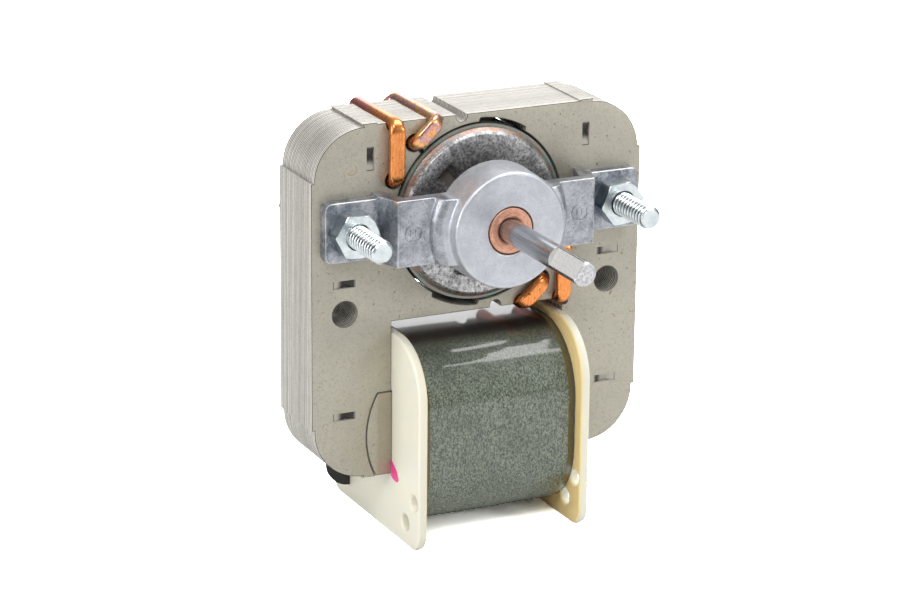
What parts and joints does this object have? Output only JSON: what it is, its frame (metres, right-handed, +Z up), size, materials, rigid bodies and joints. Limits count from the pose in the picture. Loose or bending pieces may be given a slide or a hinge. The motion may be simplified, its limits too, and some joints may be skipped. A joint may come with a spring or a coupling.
{
  "type": "shaded-pole fan motor",
  "caption": "Shaded-pole C-frame fan motor with a side coil, die-cast bearing brackets, threaded mounting studs and a flatted output shaft.",
  "frame": {"origin": "on the shaft axis, in the plane of the clamp nuts' outer faces, midway between the two mounting studs", "axes": "-Y along the output shaft, away from the motor; +Z up, from the coil to the rotor; +X across the studs, to the right seen from the shaft's end"},
  "size_m": [0.06, 0.0693, 0.0719],
  "materials": {
    "lamination_steel": "dull, rolled electrical steel with stamped edges",
    "rotor_steel": "dull, heat-blued rotor laminations",
    "copper": "bare bent copper wire with heat tint",
    "enamelled_copper": "enamelled winding wire",
    "bobbin_nylon": "satin ivory moulded nylon",
    "coil_film": "clear glossy wrapping film",
    "coil_paper": "speckled grey-green insulating paper",
    "die_cast": "as-cast zinc-aluminium with bright edges",
    "sintered_bronze": "oil-filled sintered bronze",
    "felt": "oil-soaked wool felt",
    "spring_steel": "stamped spring steel",
    "cage_aluminium": "machined die-cast aluminium",
    "shaft_steel": "ground and polished steel",
    "washer_plastic": "laminated phenolic",
    "zinc_plate": "bright zinc plate",
    "block_plastic": "black moulded plastic",
    "tab_brass": "tinned brass tab"
  },
  "bodies": {
    "stator": {"bobbin": "bobbin_nylon", "coil_film": "coil_film", "coil_paper": "coil_paper", "core_bar_laminations": "lamination_steel", "front_bearing": "sintered_bronze", "front_bearing_clip": "spring_steel", "front_bracket": "die_cast", "front_nuts": "zinc_plate", "front_oil_felt": "felt", "rear_bearing": "sintered_bronze", "rear_bearing_clip": "spring_steel", "rear_bracket": "die_cast", "rear_nuts": "zinc_plate", "rear_oil_felt": "felt", "shading_ring_left_inner": "copper", "shading_ring_left_outer": "copper", "shading_ring_right_inner": "copper", "shading_ring_right_outer": "copper", "terminal_block": "block_plastic", "terminal_tabs": "tab_brass", "through_studs": "zinc_plate", "winding": "enamelled_copper", "winding_ends": "enamelled_copper", "yoke_laminations": "lamination_steel"},
    "rotor": {"rotor_core": "rotor_steel", "rotor_cage": "cage_aluminium", "shaft": "shaft_steel", "front_spacer": "shaft_steel", "rear_spacer": "shaft_steel", "front_thrust_washer": "washer_plastic", "rear_thrust_washer": "washer_plastic"}
  },
  "joints": [
    {"name": "rotor_spin", "type": "hinge", "parent": "stator", "child": "rotor", "pos_m": [0, 0.0121, 0], "axis": [0, -1, 0], "continuous": true}
  ]
}
